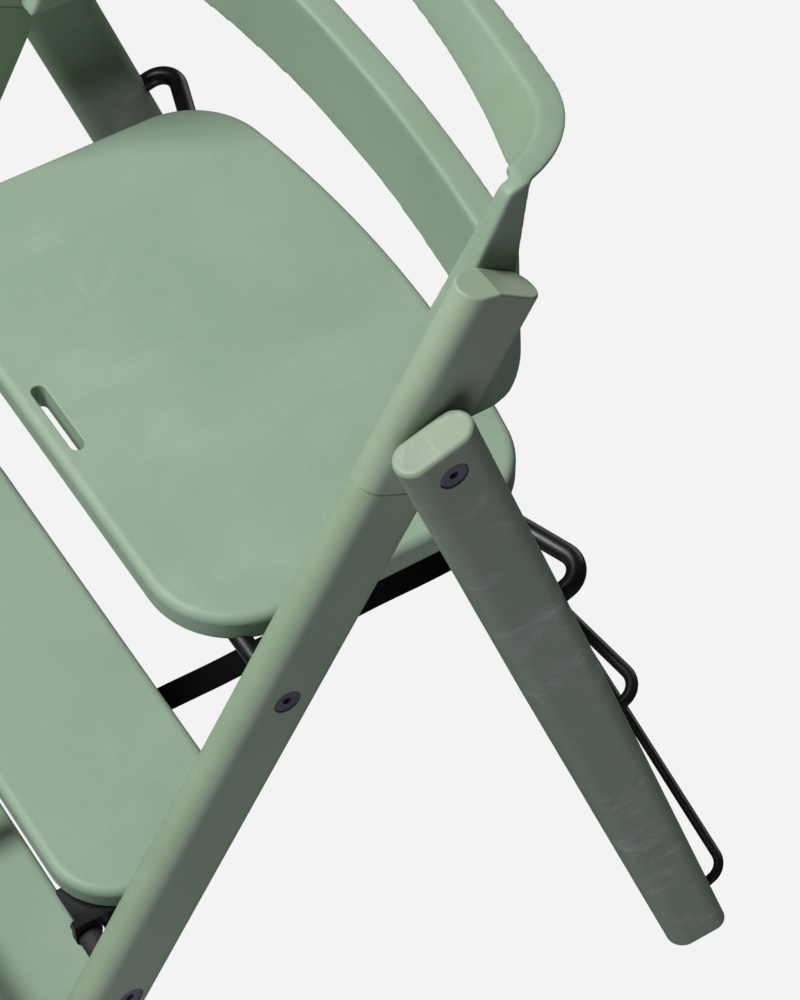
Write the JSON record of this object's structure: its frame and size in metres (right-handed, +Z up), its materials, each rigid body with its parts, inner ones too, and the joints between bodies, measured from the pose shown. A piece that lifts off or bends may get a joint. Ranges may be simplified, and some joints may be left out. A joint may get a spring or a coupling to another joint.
{
  "type": "folding child chair",
  "caption": "Folding child's high seat with a slotted seat panel, a footrest and a lower step between leaning front legs, a curved backrest, and rear legs that swing on a top pivot.",
  "frame": {"origin": "centre of the open chair's footprint, on the floor", "axes": "+Z up, +Y to the back, +X to the sitter's left"},
  "size_m": [0.513, 0.6598, 0.7965],
  "materials": {
    "sage_plastic": "matte moulded, cloudy recycled streaks",
    "black_steel": "satin black powder coat",
    "black_bolt": "black oxide, satin",
    "glide_rubber": "matte black",
    "black_nylon": "satin black nylon",
    "black_webbing": "flat woven webbing",
    "zinc_steel": "zinc plated"
  },
  "bodies": {
    "front_frame": {"front_leg_left": "sage_plastic", "front_leg_right": "sage_plastic", "back_post_left": "sage_plastic", "back_post_right": "sage_plastic", "backrest_shell": "sage_plastic", "top_pivot_bolts": "black_bolt", "top_pivot_barrels": "zinc_steel", "top_pivot_washers": "black_nylon", "front_glides": "glide_rubber", "footrest_axle_bolts": "black_bolt", "footrest_axle_nuts": "zinc_steel", "footrest_axle_spacers": "black_nylon", "footrest_stop_pins": "zinc_steel", "step_axle_bolts": "black_bolt", "step_axle_nuts": "zinc_steel", "step_axle_spacers": "black_nylon", "step_stop_pins": "zinc_steel", "seat_axle_bolts": "black_bolt", "seat_axle_tube": "black_steel", "strap_tube": "black_steel", "strap_tube_bolts": "black_bolt", "spread_strap": "black_webbing"},
    "rear_frame": {"rear_leg_left": "sage_plastic", "rear_leg_right": "sage_plastic", "upper_stretcher": "black_steel", "middle_stretcher": "black_steel", "lower_stretcher": "black_steel", "strap_rod": "black_steel", "rear_glides": "glide_rubber"},
    "seat": {"seat_panel": "sage_plastic", "seat_hinge_left": "black_nylon", "seat_hinge_right": "black_nylon", "seat_pads": "glide_rubber", "seat_screws": "zinc_steel"},
    "footrest": {"footrest_panel": "sage_plastic", "footrest_bracket_left": "black_steel", "footrest_bracket_right": "black_steel", "footrest_screws": "zinc_steel"},
    "lower_step": {"step_panel": "sage_plastic", "step_bracket_left": "black_steel", "step_bracket_right": "black_steel", "step_screws": "zinc_steel"}
  },
  "joints": [
    {"name": "rear_fold", "type": "hinge", "parent": "front_frame", "child": "rear_frame", "pos_m": [0, 0.06467, 0.66], "axis": [-1, 0, 0], "range_deg": [0, 43.5], "deforming": ["spread_strap"]},
    {"name": "seat_fold", "type": "hinge", "parent": "front_frame", "child": "seat", "pos_m": [0, -0.02676, 0.49573], "axis": [1, 0, 0], "range_deg": [0, 60.5]},
    {"name": "footrest_fold", "type": "hinge", "parent": "front_frame", "child": "footrest", "pos_m": [0, -0.14219, 0.276], "axis": [1, 0, 0], "range_deg": [0, 60.5]},
    {"name": "step_fold", "type": "hinge", "parent": "front_frame", "child": "lower_step", "pos_m": [0, -0.23325, 0.1124], "axis": [1, 0, 0], "range_deg": [0, 31]}
  ],
  "couplings": [
    {"joint": "seat_fold", "follows": "rear_fold", "ratio": 1.3908},
    {"joint": "footrest_fold", "follows": "rear_fold", "ratio": 1.3908},
    {"joint": "step_fold", "follows": "rear_fold", "ratio": 0.71264}
  ]
}
